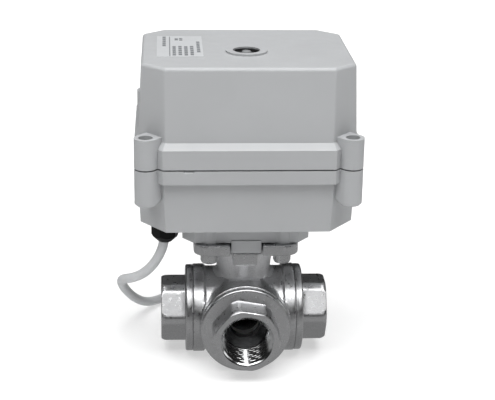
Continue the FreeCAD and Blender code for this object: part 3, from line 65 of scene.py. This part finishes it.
def make_camera():
    """A long lens in front, a little to the left and looking down."""
    stand = at(-32.15, -513.5, 232.97)
    pitch = 0.344603
    yaw = 0.065188
    roll = 0.016559
    ahead = Vector((math.sin(yaw) * math.cos(pitch), math.cos(yaw) * math.cos(pitch), -math.sin(pitch)))
    level_right = ahead.cross(Vector((0, 0, 1))).normalized()
    level_up = level_right.cross(ahead)
    right = level_right * math.cos(roll) + level_up * math.sin(roll)
    up = level_up * math.cos(roll) - level_right * math.sin(roll)
    data = bpy.data.cameras.new("camera")
    data.lens = 95.93
    data.clip_end = 20
    camera = bpy.data.objects.new("camera", data)
    facing = Matrix((right, up, -ahead)).transposed().to_4x4()
    camera.matrix_world = Matrix.Translation(stand) @ facing
    bpy.context.scene.collection.objects.link(camera)
    bpy.context.scene.camera = camera


# ------------------------------------------------------------------ materials


def fill_ramp(node, stops):
    """Give a colour ramp its positions and colours."""
    ramp = node.color_ramp
    while len(ramp.elements) < len(stops):
        ramp.elements.new(0.5)
    for element, (position, color) in zip(ramp.elements, stops):
        element.position = position
        element.color = (*color, 1)


class Shader:
    """A principled material with a few helpers for its nodes."""

    def __init__(self, name, color, rough, metal=0.0, **sockets):
        """The keywords name further inputs, with underscores for spaces."""
        self.material = bpy.data.materials.new(name)
        self.material.use_nodes = True
        self.tree = self.material.node_tree
        self.surface = self.tree.nodes["Principled BSDF"]
        self.surface.inputs["Base Color"].default_value = (*color, 1)
        self.surface.inputs["Roughness"].default_value = rough
        self.surface.inputs["Metallic"].default_value = metal
        for socket, value in sockets.items():
            self.surface.inputs[socket.replace("_", " ")].default_value = value
        self.place = self.tree.nodes.new("ShaderNodeTexCoord").outputs["Object"]

    def node(self, kind, inputs):
        """A node whose inputs are given as values or as other nodes' outputs."""
        made = self.tree.nodes.new(kind)
        for key, value in inputs.items():
            if isinstance(value, bpy.types.NodeSocket):
                self.tree.links.new(value, made.inputs[key])
            else:
                made.inputs[key].default_value = value
        return made

    def grain(self, scale, detail=4.0, rough=0.55):
        """Noise whose scale is in features per metre."""
        return self.node("ShaderNodeTexNoise", {
            "Vector": self.place, "Scale": scale, "Detail": detail, "Roughness": rough,
        }).outputs["Fac"]

    def ramp(self, fac, stops):
        """Colours at positions along a value."""
        made = self.node("ShaderNodeValToRGB", {"Fac": fac})
        fill_ramp(made, stops)
        return made.outputs["Color"]

    def span(self, fac, low, high):
        """The middle part of a noise spread between two values."""
        return self.node("ShaderNodeMapRange", {
            "Value": fac, "From Min": 0.35, "From Max": 0.65, "To Min": low, "To Max": high,
        }).outputs["Result"]

    def color(self, output):
        self.tree.links.new(output, self.surface.inputs["Base Color"])

    def rough(self, output):
        self.tree.links.new(output, self.surface.inputs["Roughness"])

    def bump(self, height, distance, strength, after=None):
        """Relief of a height in metres, on top of an earlier one if given."""
        inputs = {"Height": height, "Distance": distance, "Strength": strength}
        if after is not None:
            inputs["Normal"] = after
        normal = self.node("ShaderNodeBump", inputs).outputs[0]
        self.tree.links.new(normal, self.surface.inputs["Normal"])
        return normal


def shade(color, factor):
    return tuple(channel * factor for channel in color)


def grey(tone):
    return (tone, tone, tone)


def plain(name, color, rough, scale=900.0, tone=0.08, **sockets):
    """Fine even grain with a little variation of tone and gloss."""
    look = Shader(name, color, rough, **sockets)
    broad = look.grain(scale * 0.06, 3.0)
    look.color(look.ramp(broad, [(0.35, shade(color, 1 - tone)), (0.65, shade(color, 1 + tone))]))
    look.rough(look.span(look.grain(scale * 0.3, 3.0), rough * 0.88, min(1.0, rough * 1.12)))
    look.bump(look.grain(scale, 2.0), 0.00002, 0.5)
    return look.material


def housing_material():
    """Moulded light grey plastic with a fine spark-eroded texture."""
    color = (0.366, 0.373, 0.381)
    look = Shader("housing_grey", color, 0.46, Specular_IOR_Level=0.45)
    cloud = look.grain(28.0, 3.0)
    look.color(look.ramp(cloud, [(0.3, shade(color, 0.975)), (0.7, shade(color, 1.025))]))
    look.rough(look.span(look.grain(160.0, 4.0), 0.42, 0.52))
    texture = look.bump(look.grain(5200.0, 2.0), 0.000012, 0.55)
    look.bump(look.grain(70.0, 2.0), 0.00006, 0.25, after=texture)
    return look.material


def cast_material(name, tone, rough, metal):
    """Investment cast stainless: a soft sheen over fine grains."""
    color = (tone, tone * 1.005, tone * 1.02)
    look = Shader(name, color, rough, metal)
    speckle = look.grain(2200.0, 3.0, 0.6)
    look.color(look.ramp(speckle, [(0.32, shade(color, 0.88)), (0.5, color), (0.7, shade(color, 1.08))]))
    look.rough(look.span(look.grain(700.0, 4.0), rough * 0.8, rough * 1.3))
    look.bump(look.grain(1700.0, 3.0, 0.55), 0.000012, 0.6)
    return look.material


def turned_material(name, color, rough, relief=0.00001):
    """Machined metal with fine tool marks."""
    look = Shader(name, color, rough, 1.0)
    marks = look.grain(3000.0, 2.0, 0.5)
    look.color(look.ramp(look.grain(300.0, 3.0), [(0.3, shade(color, 0.9)), (0.7, shade(color, 1.08))]))
    look.rough(look.span(marks, rough * 0.75, rough * 1.3))
    look.bump(marks, relief, 0.6)
    return look.material


def sheath_material():
    """Soft white cable sheath, faintly uneven."""
    color = (0.54, 0.55, 0.56)
    look = Shader("cable_white", color, 0.42, Specular_IOR_Level=0.4)
    look.color(look.ramp(look.grain(90.0, 3.0), [(0.3, shade(color, 0.94)), (0.7, shade(color, 1.04))]))
    look.bump(look.grain(700.0, 3.0), 0.00003, 0.4)
    return look.material


def make_materials():
    MATERIALS.update({
        "housing_grey": housing_material(),
        "cast_stainless": cast_material("cast_stainless", 0.58, 0.33, 1.0),
        # a lighter, rougher copy of the cast metal for the neck: its lighter tone is painted light
        "painted_light_neck_stainless": cast_material("painted_light_neck_stainless", 0.78, 0.48, 0.76),
        "machined_stainless": turned_material("machined_stainless", (0.62, 0.625, 0.63), 0.24),
        "thread_stainless": turned_material("thread_stainless", (0.5, 0.505, 0.51), 0.15, 0.0000004),
        "zinc_steel": turned_material("zinc_steel", (0.55, 0.555, 0.56), 0.33, 0.000003),
        "black_rubber": plain("black_rubber", (0.018, 0.018, 0.019), 0.62),
        "white_ptfe": plain("white_ptfe", (0.82, 0.82, 0.80), 0.4, tone=0.03),
        "black_nylon": plain("black_nylon", grey(0.004), 0.32, scale=1400.0, Specular_IOR_Level=0.18),
        "white_acetal": plain("white_acetal", (0.78, 0.78, 0.74), 0.36, tone=0.03),
        "bearing_bronze": turned_material("bearing_bronze", (0.62, 0.42, 0.19), 0.33),
        "board_green": plain("board_green", (0.02, 0.16, 0.07), 0.34, scale=600.0),
        "terminal_green": plain("terminal_green", (0.05, 0.33, 0.10), 0.42),
        "relay_blue": plain("relay_blue", (0.04, 0.11, 0.33), 0.4),
        "cable_white": sheath_material(),
        "label_white": plain("label_white", (0.47, 0.48, 0.49), 0.35, scale=500.0, tone=0.015),
        "print_grey": plain("print_grey", (0.17, 0.178, 0.186), 0.45),
        "spindle_grey": plain("spindle_grey", (0.2, 0.205, 0.21), 0.4, tone=0.03),
        "lead_blue": plain("lead_blue", (0.03, 0.10, 0.42), 0.4),
        "lead_brown": plain("lead_brown", (0.13, 0.05, 0.02), 0.4),
        "lead_white": plain("lead_white", (0.74, 0.74, 0.72), 0.4),
        "bare_copper": turned_material("bare_copper", (0.78, 0.36, 0.20), 0.3),
    })


def dress_cad_nodes():
    """Each CAD node that stays gets the material of its own slot."""
    for entry in frame["record"]["subparts"]:
        data = NODES[entry["node"]].data
        data.materials.clear()
        data.materials.append(MATERIALS[entry["material_slot"]])


# ------------------------------------------------------------------ mesh helpers


def link(name, mesh):
    made = bpy.data.objects.new(name, mesh)
    bpy.context.scene.collection.objects.link(made)
    return made


def apply_modifiers(obj):
    """Freeze an object's modifiers into its mesh."""
    graph = bpy.context.evaluated_depsgraph_get()
    frozen = bpy.data.meshes.new_from_object(obj.evaluated_get(graph))
    obj.modifiers.clear()
    obj.data = frozen


def stand_in(node, body, slot):
    """A copy of a CAD node's mesh, as clean flat faces, that replaces the node."""
    mesh = NODES[node].data.copy()
    edit = bmesh.new()
    edit.from_mesh(mesh)
    bmesh.ops.remove_doubles(edit, verts=edit.verts, dist=0.000002)
    bmesh.ops.dissolve_limit(edit, angle_limit=math.radians(1.5), verts=edit.verts, edges=edit.edges)
    edit.to_mesh(mesh)
    edit.free()
    mesh.materials.clear()
    mesh.materials.append(MATERIALS[slot])
    made = link(node + "_look", mesh)
    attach(made, body)
    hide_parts(node)
    return made


def softened(node, body, slot, width, segments=3):
    """A CAD node with its sharp edges rounded and its flat faces shaded flat."""
    made = stand_in(node, body, slot)
    bevel = made.modifiers.new("bevel", "BEVEL")
    bevel.width = width * MM
    bevel.segments = segments
    bevel.limit_method = "ANGLE"
    bevel.angle_limit = math.radians(28)
    bevel.use_clamp_overlap = True
    apply_modifiers(made)
    smooth(made, 40)
    level = made.modifiers.new("level", "WEIGHTED_NORMAL")
    level.keep_sharp = True
    apply_modifiers(made)
    return made


def smooth(obj, degrees):
    """Smooth shading that keeps edges sharper than an angle."""
    mesh = obj.data
    mesh.polygons.foreach_set("use_smooth", [True] * len(mesh.polygons))
    edit = bmesh.new()
    edit.from_mesh(mesh)
    for edge in edit.edges:
        if len(edge.link_faces) == 2:
            edge.smooth = edge.calc_face_angle(0.0) < math.radians(degrees)
    edit.to_mesh(mesh)
    edit.free()


def closed_rings(name, rings):
    """A closed skin over rings of points, the last ring joined to the first."""
    count = len(rings[0])
    points = [point for ring in rings for point in ring]
    faces = []
    for row in range(len(rings)):
        here = row * count
        there = (row + 1) % len(rings) * count
        for step in range(count):
            after = (step + 1) % count
            faces.append((here + step, here + after, there + after, there + step))
    mesh = bpy.data.meshes.new(name)
    mesh.from_pydata(points, [], faces)
    edit = bmesh.new()
    edit.from_mesh(mesh)
    bmesh.ops.recalc_face_normals(edit, faces=edit.faces)
    edit.to_mesh(mesh)
    edit.free()
    return mesh


# ------------------------------------------------------------------ valve


def soft_min(first, second, blend=0.35):
    """The smaller of two lengths, with the crease between them rounded."""
    spread = max(0.0, blend - abs(first - second)) / blend
    return min(first, second) - spread * spread * blend * 0.25


# end caps: radii, and distances from the crossing along the port
INNER_END = 13.4
BODY_FACE = 21.4
FLANGE_END = 24.4
CAP_END = 34.6
WATERWAY = 6.3
SPIGOT = 14.45
FLANGE = 18.3
FLANGE_EDGE = 0.8
ROOT_FILLET = 0.45
FLAT = 12.7
CORNER = 13.85
END_TAPER = 2.2
END_EDGE = 0.3
MOUTH = 10.75
# thread
THREAD_START = 20.9
PITCH = 1.814
CREST = 9.33
ROOT = 10.47


def hexagon_radius(angle):
    sector = math.radians(60)
    return FLAT / math.cos((angle + sector / 2) % sector - sector / 2)


def hexagon_ring(depth, angle):
    """Outside of the hexagon, its corners turned down and tapered at the end."""
    taper = max(0.0, depth - (CAP_END - END_TAPER)) / END_TAPER
    edge = max(0.0, depth - (CAP_END - END_EDGE)) / END_EDGE
    flat = hexagon_radius(angle) - 0.2 * (1 - math.sqrt(max(0.0, 1 - edge * edge)))
    return soft_min(flat, CORNER - 0.75 * taper * taper)


def thread_ring(depth, angle):
    """A sharp-sided thread with small flats, opened at the mouth by a chamfer."""
    phase = (depth / PITCH + angle / (2 * math.pi)) % 1.0
    wave = abs(phase * 2 - 1)
    rise = min(1.0, max(0.0, (wave - 0.12) / 0.76))
    run_out = min(1.0, max(0.0, (depth - THREAD_START) / PITCH))
    radius = CREST + (ROOT - CREST) * rise * run_out
    return max(radius, MOUTH - (CAP_END - depth))


def row(depth, radius):
    """A round row of the cap's section."""
    return depth, lambda angle: radius


def shaped_row(depth, shape, shape_depth, out=0.0):
    """A row whose radius changes round the cap."""
    return depth, lambda angle: shape(shape_depth, angle) + out


def cap_profile():
    """Rows of (distance from the crossing, radius at an angle) round the cap's section."""
    rows = [
        row(INNER_END, SPIGOT - 1.3), row(INNER_END + 1.3, SPIGOT), row(BODY_FACE - 0.05, SPIGOT),
        row(BODY_FACE, FLANGE - 0.4), row(BODY_FACE + 0.03, FLANGE - 0.15), row(BODY_FACE + 0.3, FLANGE),
        row(FLANGE_END - FLANGE_EDGE, FLANGE),
    ]
    for step in range(1, 6):
        turn = math.radians(18 * step)
        depth = FLANGE_END - FLANGE_EDGE * (1 - math.sin(turn))
        rows.append(row(depth, FLANGE - FLANGE_EDGE * (1 - math.cos(turn))))
    for step in range(4):
        turn = math.radians(30 * step)
        depth = FLANGE_END + ROOT_FILLET * (1 - math.cos(turn))
        rows.append(shaped_row(depth, hexagon_ring, FLANGE_END, ROOT_FILLET * (1 - math.sin(turn))))
    depths = [26.5, 28.5, 30.5, 32.0] + [CAP_END - END_TAPER + 0.2 * step for step in range(11)] + [CAP_END]
    rows += [shaped_row(depth, hexagon_ring, depth) for depth in depths]
    rows += [row(CAP_END, MOUTH + 0.65), row(CAP_END, MOUTH + 0.2), row(CAP_END - 0.05, MOUTH + 0.05)]
    steps = 110
    threaded = CAP_END - 0.05 - THREAD_START
    for step in range(1, steps + 1):
        depth = CAP_END - 0.05 - threaded * step / steps
        rows.append(shaped_row(depth, thread_ring, depth))
    rows += [row(20.6, CREST), row(17.7, WATERWAY + 0.15), row(17.5, WATERWAY), row(INNER_END, WATERWAY)]
    return rows


def make_cap(side, direction, spin):
    """One end cap, its hexagon turned by a spin in degrees."""
    outward = Vector(direction)
    across = Vector((0, 0, 1))
    level = across.cross(outward)
    count = 216
    rings = []
    for depth, radius_at in cap_profile():
        ring = []
        for step in range(count):
            angle = 2 * math.pi * step / count
            radius = radius_at(angle)
            turn = angle + math.radians(spin)
            sideways = across * math.cos(turn) + level * math.sin(turn)
            ring.append(CROSSING + (outward * depth + sideways * radius) * MM)
        rings.append(ring)
    mesh = closed_rings(f"end_cap_{side}_look", rings)
    mesh.materials.append(MATERIALS["cast_stainless"])
    mesh.materials.append(MATERIALS["thread_stainless"])
    made = link(mesh.name, mesh)
    for face in mesh.polygons:
        offset = face.center - CROSSING
        radius = (offset - outward * offset.dot(outward)).length
        face.material_index = int(radius < (MOUTH + 0.15) * MM)
    smooth(made, 38)
    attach(made, "housing")
    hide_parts(f"end_cap_{side}")


def is_neck(place):
    """Whether a place in millimetres is on the neck between the barrels and the pad."""
    return 16.5 < place.z < 31.5 and place.xy.length < 12.9


def make_valve_body():
    """The casting: the CAD solid with rounded blends where its parts meet, and a rougher neck painted lighter
    than the rest, as painted light.
    """
    made = stand_in("valve_body", "housing", "cast_stainless")
    remesh = made.modifiers.new("skin", "REMESH")
    remesh.mode = "VOXEL"
    remesh.voxel_size = 0.42 * MM
    remesh.adaptivity = 0.0
    relax = made.modifiers.new("relax", "SMOOTH")
    relax.factor = 0.5
    relax.iterations = 4
    apply_modifiers(made)
    # the neck takes the lighter copy of the cast metal: painted light on the neck
    made.data.materials.append(MATERIALS["painted_light_neck_stainless"])
    for face in made.data.polygons:
        face.material_index = int(is_neck((face.center - CROSSING) / MM))
    smooth(made, 60)


def make_gland():
    softened("gland_nut", "housing", "black_nylon", 0.35)
    softened("gland_body", "housing", "black_nylon", 0.25)


# ------------------------------------------------------------------ cable

CABLE_RADIUS = 2.0
LEAD_RADIUS = 0.62
STRAND_RADIUS = 0.36
LEAD_SPACING = 0.855
BENCH = -CROSSING.z / MM
LAID = BENCH + CABLE_RADIUS
# from inside the gland, behind the left port and down to the bench
ROUTE = [
    (-32.8, -10.5, 42.4),
    (-32.8, -10.5, 34.4),
    (-35.9, -10.0, 26.2),
    (-41.2, -7.4, 19.0),
    (-47.0, -1.6, 14.2),
    (-51.0, 6.6, 10.6),
    (-52.0, 15.4, 5.2),
    (-50.4, 23.6, -2.0),
    (-46.8, 31.0, -9.2),
    (-41.8, 37.8, -14.6),
    (-35.6, 45.4, LAID),
    (-28.0, 53.6, LAID),
    (-20.0, 61.2, LAID),
]
COIL_CENTRE = (0.0, 48.0)


def round_coil(bearing, radius, height):
    """A place about the coil's centre, its bearing in degrees."""
    way = math.radians(bearing)
    return (COIL_CENTRE[0] + radius * math.cos(way), COIL_CENTRE[1] + radius * math.sin(way), height)


def coil_points():
    """Outer turn on the bench, one turn on top, and the last part inside the outer turn."""
    points = []
    stages = [
        (0, 24.0, 0.0), (13, 24.0, 0.0), (17, 22.1, 3.7), (28, 21.9, 3.7), (32, 19.95, 0.0), (42, 19.95, 0.0),
        (43, 18.9, 0.0),
    ]
    for index in range(stages[-1][0] + 1):
        for (start, radius, lift), (end, next_radius, next_lift) in zip(stages, stages[1:]):
            if start <= index <= end:
                part = (index - start) / (end - start)
                part = part * part * (3 - 2 * part)
                size = radius + (next_radius - radius) * part
                height = lift + (next_lift - lift) * part
        points.append(round_coil(122 - 24 * index, size, LAID + height))
    return points


def round_cord(name, points, radius, slot):
    """A round cord on one smooth spline."""
    data = bpy.data.curves.new(name, "CURVE")
    data.dimensions = "3D"
    data.bevel_depth = radius * MM
    data.bevel_resolution = 6
    data.use_fill_caps = True
    spline = data.splines.new("NURBS")
    spline.points.add(len(points) - 1)
    for knot, point in zip(spline.points, points):
        knot.co = (*at(*point), 1.0)
    spline.order_u = 3
    spline.use_endpoint_u = True
    spline.resolution_u = 10
    data.materials.append(MATERIALS[slot])
    made = link(name, data)
    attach(made, "housing")
    # the record has one slot for all the leads
    return made


def make_cable():
    points = ROUTE + coil_points()
    cable = round_cord("cable_run", points, CABLE_RADIUS, "cable_white")
    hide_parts("cable", "cable_coil")
    leads = make_leads(points[-1])
    tie = softened("cable_tie", "housing", "black_nylon", 0.15)


def make_leads(end):
    """Three stripped conductors fan out from the cut end of the sheath, inside the coil."""
    low = BENCH + 0.7
    # bearing about the coil, radius, how far each next lead falls inside, height above the bench
    fan = [(157, 17.0, 1.6, 0.6), (146, 16.4, 2.1, 0.0), (132, 15.8, 2.7, 0.0), (116, 15.0, 3.4, 0.0)]
    pieces = []
    for index, slot in enumerate(("lead_brown", "lead_blue", "lead_white")):
        across = end[0] - LEAD_SPACING * (1 - index)
        route = [(across, end[1] - 0.8, end[2]), (across, end[1] + 1.6, end[2] - 0.2)]
        for bearing, radius, step, lift in fan:
            route.append(round_coil(bearing, radius - step * index, low + lift))
        tip = Vector(route[-1])
        ahead = (tip - Vector(route[-2])).normalized()
        wire = [tuple(tip + ahead * reach) for reach in (-0.5, 2.0, 4.0)]
        pieces += [
            round_cord(f"lead_{index + 1}", route, LEAD_RADIUS, slot),
            round_cord(f"strand_{index + 1}", wire, STRAND_RADIUS, "bare_copper"),
        ]
    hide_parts("cable_leads")
    return pieces


# ------------------------------------------------------------------ housing


def make_housing():
    softened("cover", "housing", "housing_grey", 0.55, 4)
    softened("base_housing", "housing", "housing_grey", 0.55, 4)
    softened("position_spindle", "output", "spindle_grey", 0.2)
    softened("mounting_screws", "housing", "zinc_steel", 0.25)


def label_bar(name, across, along, foot, rise, slot):
    """A thin flat block: its left and right, its front and back, its foot and its thickness."""
    left, right = across
    front, back = along
    edit = bmesh.new()
    bmesh.ops.create_cube(edit, size=1.0)
    size = Matrix.Diagonal((right - left, back - front, rise, 1))
    centre = Vector(((left + right) / 2, (front + back) / 2, foot + rise / 2))
    bmesh.ops.transform(edit, matrix=Matrix.Translation(centre) @ size, verts=edit.verts)
    mesh = bpy.data.meshes.new(name)
    edit.to_mesh(mesh)
    edit.free()
    mesh.materials.append(MATERIALS[slot])
    made = link(name, mesh)
    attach(made, "housing")
    return made


def make_label():
    """A pale film with a ruled line and plain dashes, and no lettering."""
    low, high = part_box("label")
    film = label_bar("label_film", (low.x, high.x), (low.y, high.y), low.z, 0.15 * MM, "label_white")
    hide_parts("label")
    ink = 0.18 * MM
    divider = low.x + (high.x - low.x) * 0.27
    ruled = (low.y + 1 * MM, high.y - 1 * MM)
    label_bar("label_divider", (divider, divider + 0.4 * MM), ruled, low.z, ink, "print_grey")
    # columns of dashes: distance across from the divider, distance from the front edge, length
    marks = [(-2.7, 18.0, 18.0)]
    marks += [(1.3 + 2.35 * column, 2.0 + 0.5 * (column % 2), 16.5) for column in range(4)]
    marks += [(2.3, 28.5, 4.2), (4.1, 28.0, 5.2), (11.0, 7.5, 19.5)]
    width = 1.35
    gap = 0.7
    for column, (shift, start, length) in enumerate(marks):
        left = divider + shift * MM
        dashes = max(1, round(length / 3.4))
        pitch = length / dashes
        for dash in range(dashes):
            name = f"label_mark_{column + 1}_{dash + 1}"
            front = low.y + (start + pitch * dash) * MM
            along = (front, front + (pitch - gap) * MM)
            label_bar(name, (left, left + width * MM), along, low.z, ink, "print_grey")


# ------------------------------------------------------------------ stage


def make_stage():
    """A white bench that glows a little, so that shadows on it stay faint."""
    look = Shader("floor_white", grey(0.5), 0.7, Emission_Color=(1, 1, 1, 1), Emission_Strength=0.5)
    look.color(look.ramp(look.grain(6.0, 2.0), [(0.3, grey(0.49)), (0.7, grey(0.51))]))
    reach = 3.0
    corners = [(-reach, -reach, 0), (reach, -reach, 0), (reach, reach, 0), (-reach, reach, 0)]
    mesh = bpy.data.meshes.new("floor")
    mesh.from_pydata(corners, [], [(0, 1, 2, 3)])
    mesh.materials.append(look.material)
    floor = link("floor", mesh)
    # metal reflects the surroundings' own grey instead
    floor.visible_glossy = False


def area_light(name, place, target, size, power, spread=180):
    """A rectangular light turned to a target; sizes in metres, the spread in degrees."""
    data = bpy.data.lights.new(name, "AREA")
    data.shape = "RECTANGLE"
    data.size = size[0]
    data.size_y = size[1]
    data.energy = power
    data.spread = math.radians(spread)
    made = bpy.data.objects.new(name, data)
    made.location = place
    made.rotation_euler = (Vector(target) - Vector(place)).to_track_quat("-Z", "Y").to_euler()
    bpy.context.scene.collection.objects.link(made)


def make_surroundings():
    """A dim studio: grey below the bench, dark walls and a dim ceiling."""
    world = bpy.data.worlds.new("world")
    bpy.context.scene.world = world
    world.use_nodes = True
    tree = world.node_tree
    way = tree.nodes.new("ShaderNodeTexCoord")
    split = tree.nodes.new("ShaderNodeSeparateXYZ")
    height = tree.nodes.new("ShaderNodeMapRange")
    height.inputs["From Min"].default_value = -1.0
    ramp = tree.nodes.new("ShaderNodeValToRGB")
    # from straight down at 0, over the horizon at 0.5, to straight up at 1
    tones = [(0.05, 0.3), (0.3, 0.43), (0.42, 0.4), (0.50, 0.02), (0.78, 0.015), (0.92, 0.2)]
    fill_ramp(ramp, [(position, grey(tone)) for position, tone in tones])
    tree.links.new(way.outputs["Generated"], split.inputs[0])
    tree.links.new(split.outputs["Z"], height.inputs["Value"])
    tree.links.new(height.outputs["Result"], ramp.inputs["Fac"])
    tree.links.new(ramp.outputs["Color"], tree.nodes["Background"].inputs["Color"])


def make_lights():
    middle = (0.0, 0.0, 0.06)
    area_light("overhead", (0.0, -0.3, 1.3), middle, (1.6, 1.2), 31.0)
    area_light("backdrop", (0.0, 1.2, 1.2), (0.0, 1.2, 0.0), (2.0, 1.0), 14.0, spread=80)
    area_light("front", (0.03, -0.95, 0.85), middle, (0.14, 0.5), 1.15)
    area_light("key", (-0.6, -0.6, 0.75), middle, (0.3, 0.5), 1.2)
    area_light("fill", (0.85, -0.2, 0.3), middle, (0.2, 0.6), 0.6)
    make_surroundings()
    bpy.context.scene.view_settings.view_transform = "Standard"


make_camera()
make_materials()
make_cable()
dress_cad_nodes()
make_valve_body()
for side, direction, spin in (("left", (-1, 0, 0), 1), ("right", (1, 0, 0), 1), ("front", (0, -1, 0), 10)):
    make_cap(side, direction, spin)
make_gland()
make_housing()
make_label()
make_stage()
make_lights()
